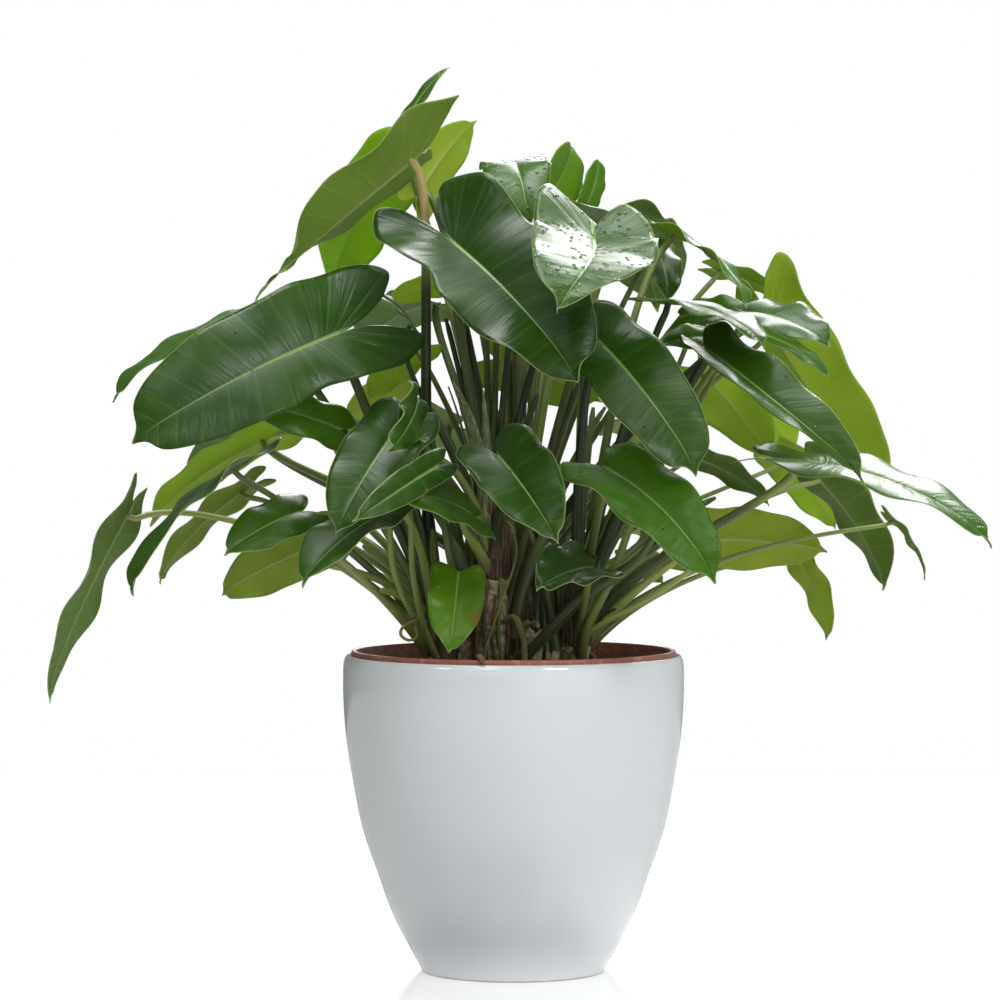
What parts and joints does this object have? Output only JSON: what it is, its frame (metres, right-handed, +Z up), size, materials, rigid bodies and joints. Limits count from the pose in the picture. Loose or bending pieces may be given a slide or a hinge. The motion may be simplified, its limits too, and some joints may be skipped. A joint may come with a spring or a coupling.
{
  "type": "potted burle marx philodendron",
  "caption": "Philodendron with long heart-shaped leaves on arching stalks, rooted in a brown nursery pot that stands inside a tapered white glazed pot.",
  "frame": {"origin": "centre of the glazed pot's flat foot, on the surface it stands on", "axes": "+Z up along the pot's axis, -Y towards the front of the plant, +X to the right of the front view"},
  "size_m": [0.6864, 0.4693, 0.6768],
  "materials": {
    "glaze": "gloss",
    "brown_plastic": "satin",
    "potting_soil": "matte",
    "bark": "matte",
    "stalk_green": "satin",
    "leaf_green": "gloss"
  },
  "bodies": {
    "root": {"glazed_pot": "glaze", "leaf_back_centre": "leaf_green", "leaf_back_high": "leaf_green", "leaf_back_left": "leaf_green", "leaf_back_low": "leaf_green", "leaf_back_low_right": "leaf_green", "leaf_back_mid_left": "leaf_green", "leaf_back_mid_right": "leaf_green", "leaf_centre_back": "leaf_green", "leaf_centre_large": "leaf_green", "leaf_centre_left_low": "leaf_green", "leaf_centre_mid": "leaf_green", "leaf_front_young": "leaf_green", "leaf_left_backlit": "leaf_green", "leaf_left_edge": "leaf_green", "leaf_left_far_grey": "leaf_green", "leaf_left_hanging": "leaf_green", "leaf_left_large": "leaf_green", "leaf_left_low_cordate": "leaf_green", "leaf_left_low_narrow": "leaf_green", "leaf_left_low_pale": "leaf_green", "leaf_left_mid_dark": "leaf_green", "leaf_left_mid_drip": "leaf_green", "leaf_left_mid_folded": "leaf_green", "leaf_left_out_bright": "leaf_green", "leaf_left_out_folded": "leaf_green", "leaf_left_out_pale": "leaf_green", "leaf_left_pale_back": "leaf_green", "leaf_left_under_large": "leaf_green", "leaf_right_backlit": "leaf_green", "leaf_right_backlit_far": "leaf_green", "leaf_right_far": "leaf_green", "leaf_right_front": "leaf_green", "leaf_right_glossy_tip": "leaf_green", "leaf_right_hanging": "leaf_green", "leaf_right_large": "leaf_green", "leaf_right_long": "leaf_green", "leaf_right_low_front": "leaf_green", "leaf_right_low_grey": "leaf_green", "leaf_right_pale": "leaf_green", "leaf_right_top_edge": "leaf_green", "leaf_right_waved": "leaf_green", "leaf_top_glossy": "leaf_green", "leaf_top_left_bright": "leaf_green", "leaf_top_mid": "leaf_green", "leaf_top_upright": "leaf_green", "leaf_upper_left": "leaf_green", "leaf_upper_left_back": "leaf_green", "nursery_pot": "brown_plastic", "soil": "potting_soil", "stalks_back": "stalk_green", "stalks_centre": "stalk_green", "stalks_left": "stalk_green", "stalks_right": "stalk_green", "trunk_back": "bark", "trunk_centre": "bark", "trunk_left": "bark", "trunk_right": "bark"}
  },
  "joints": []
}
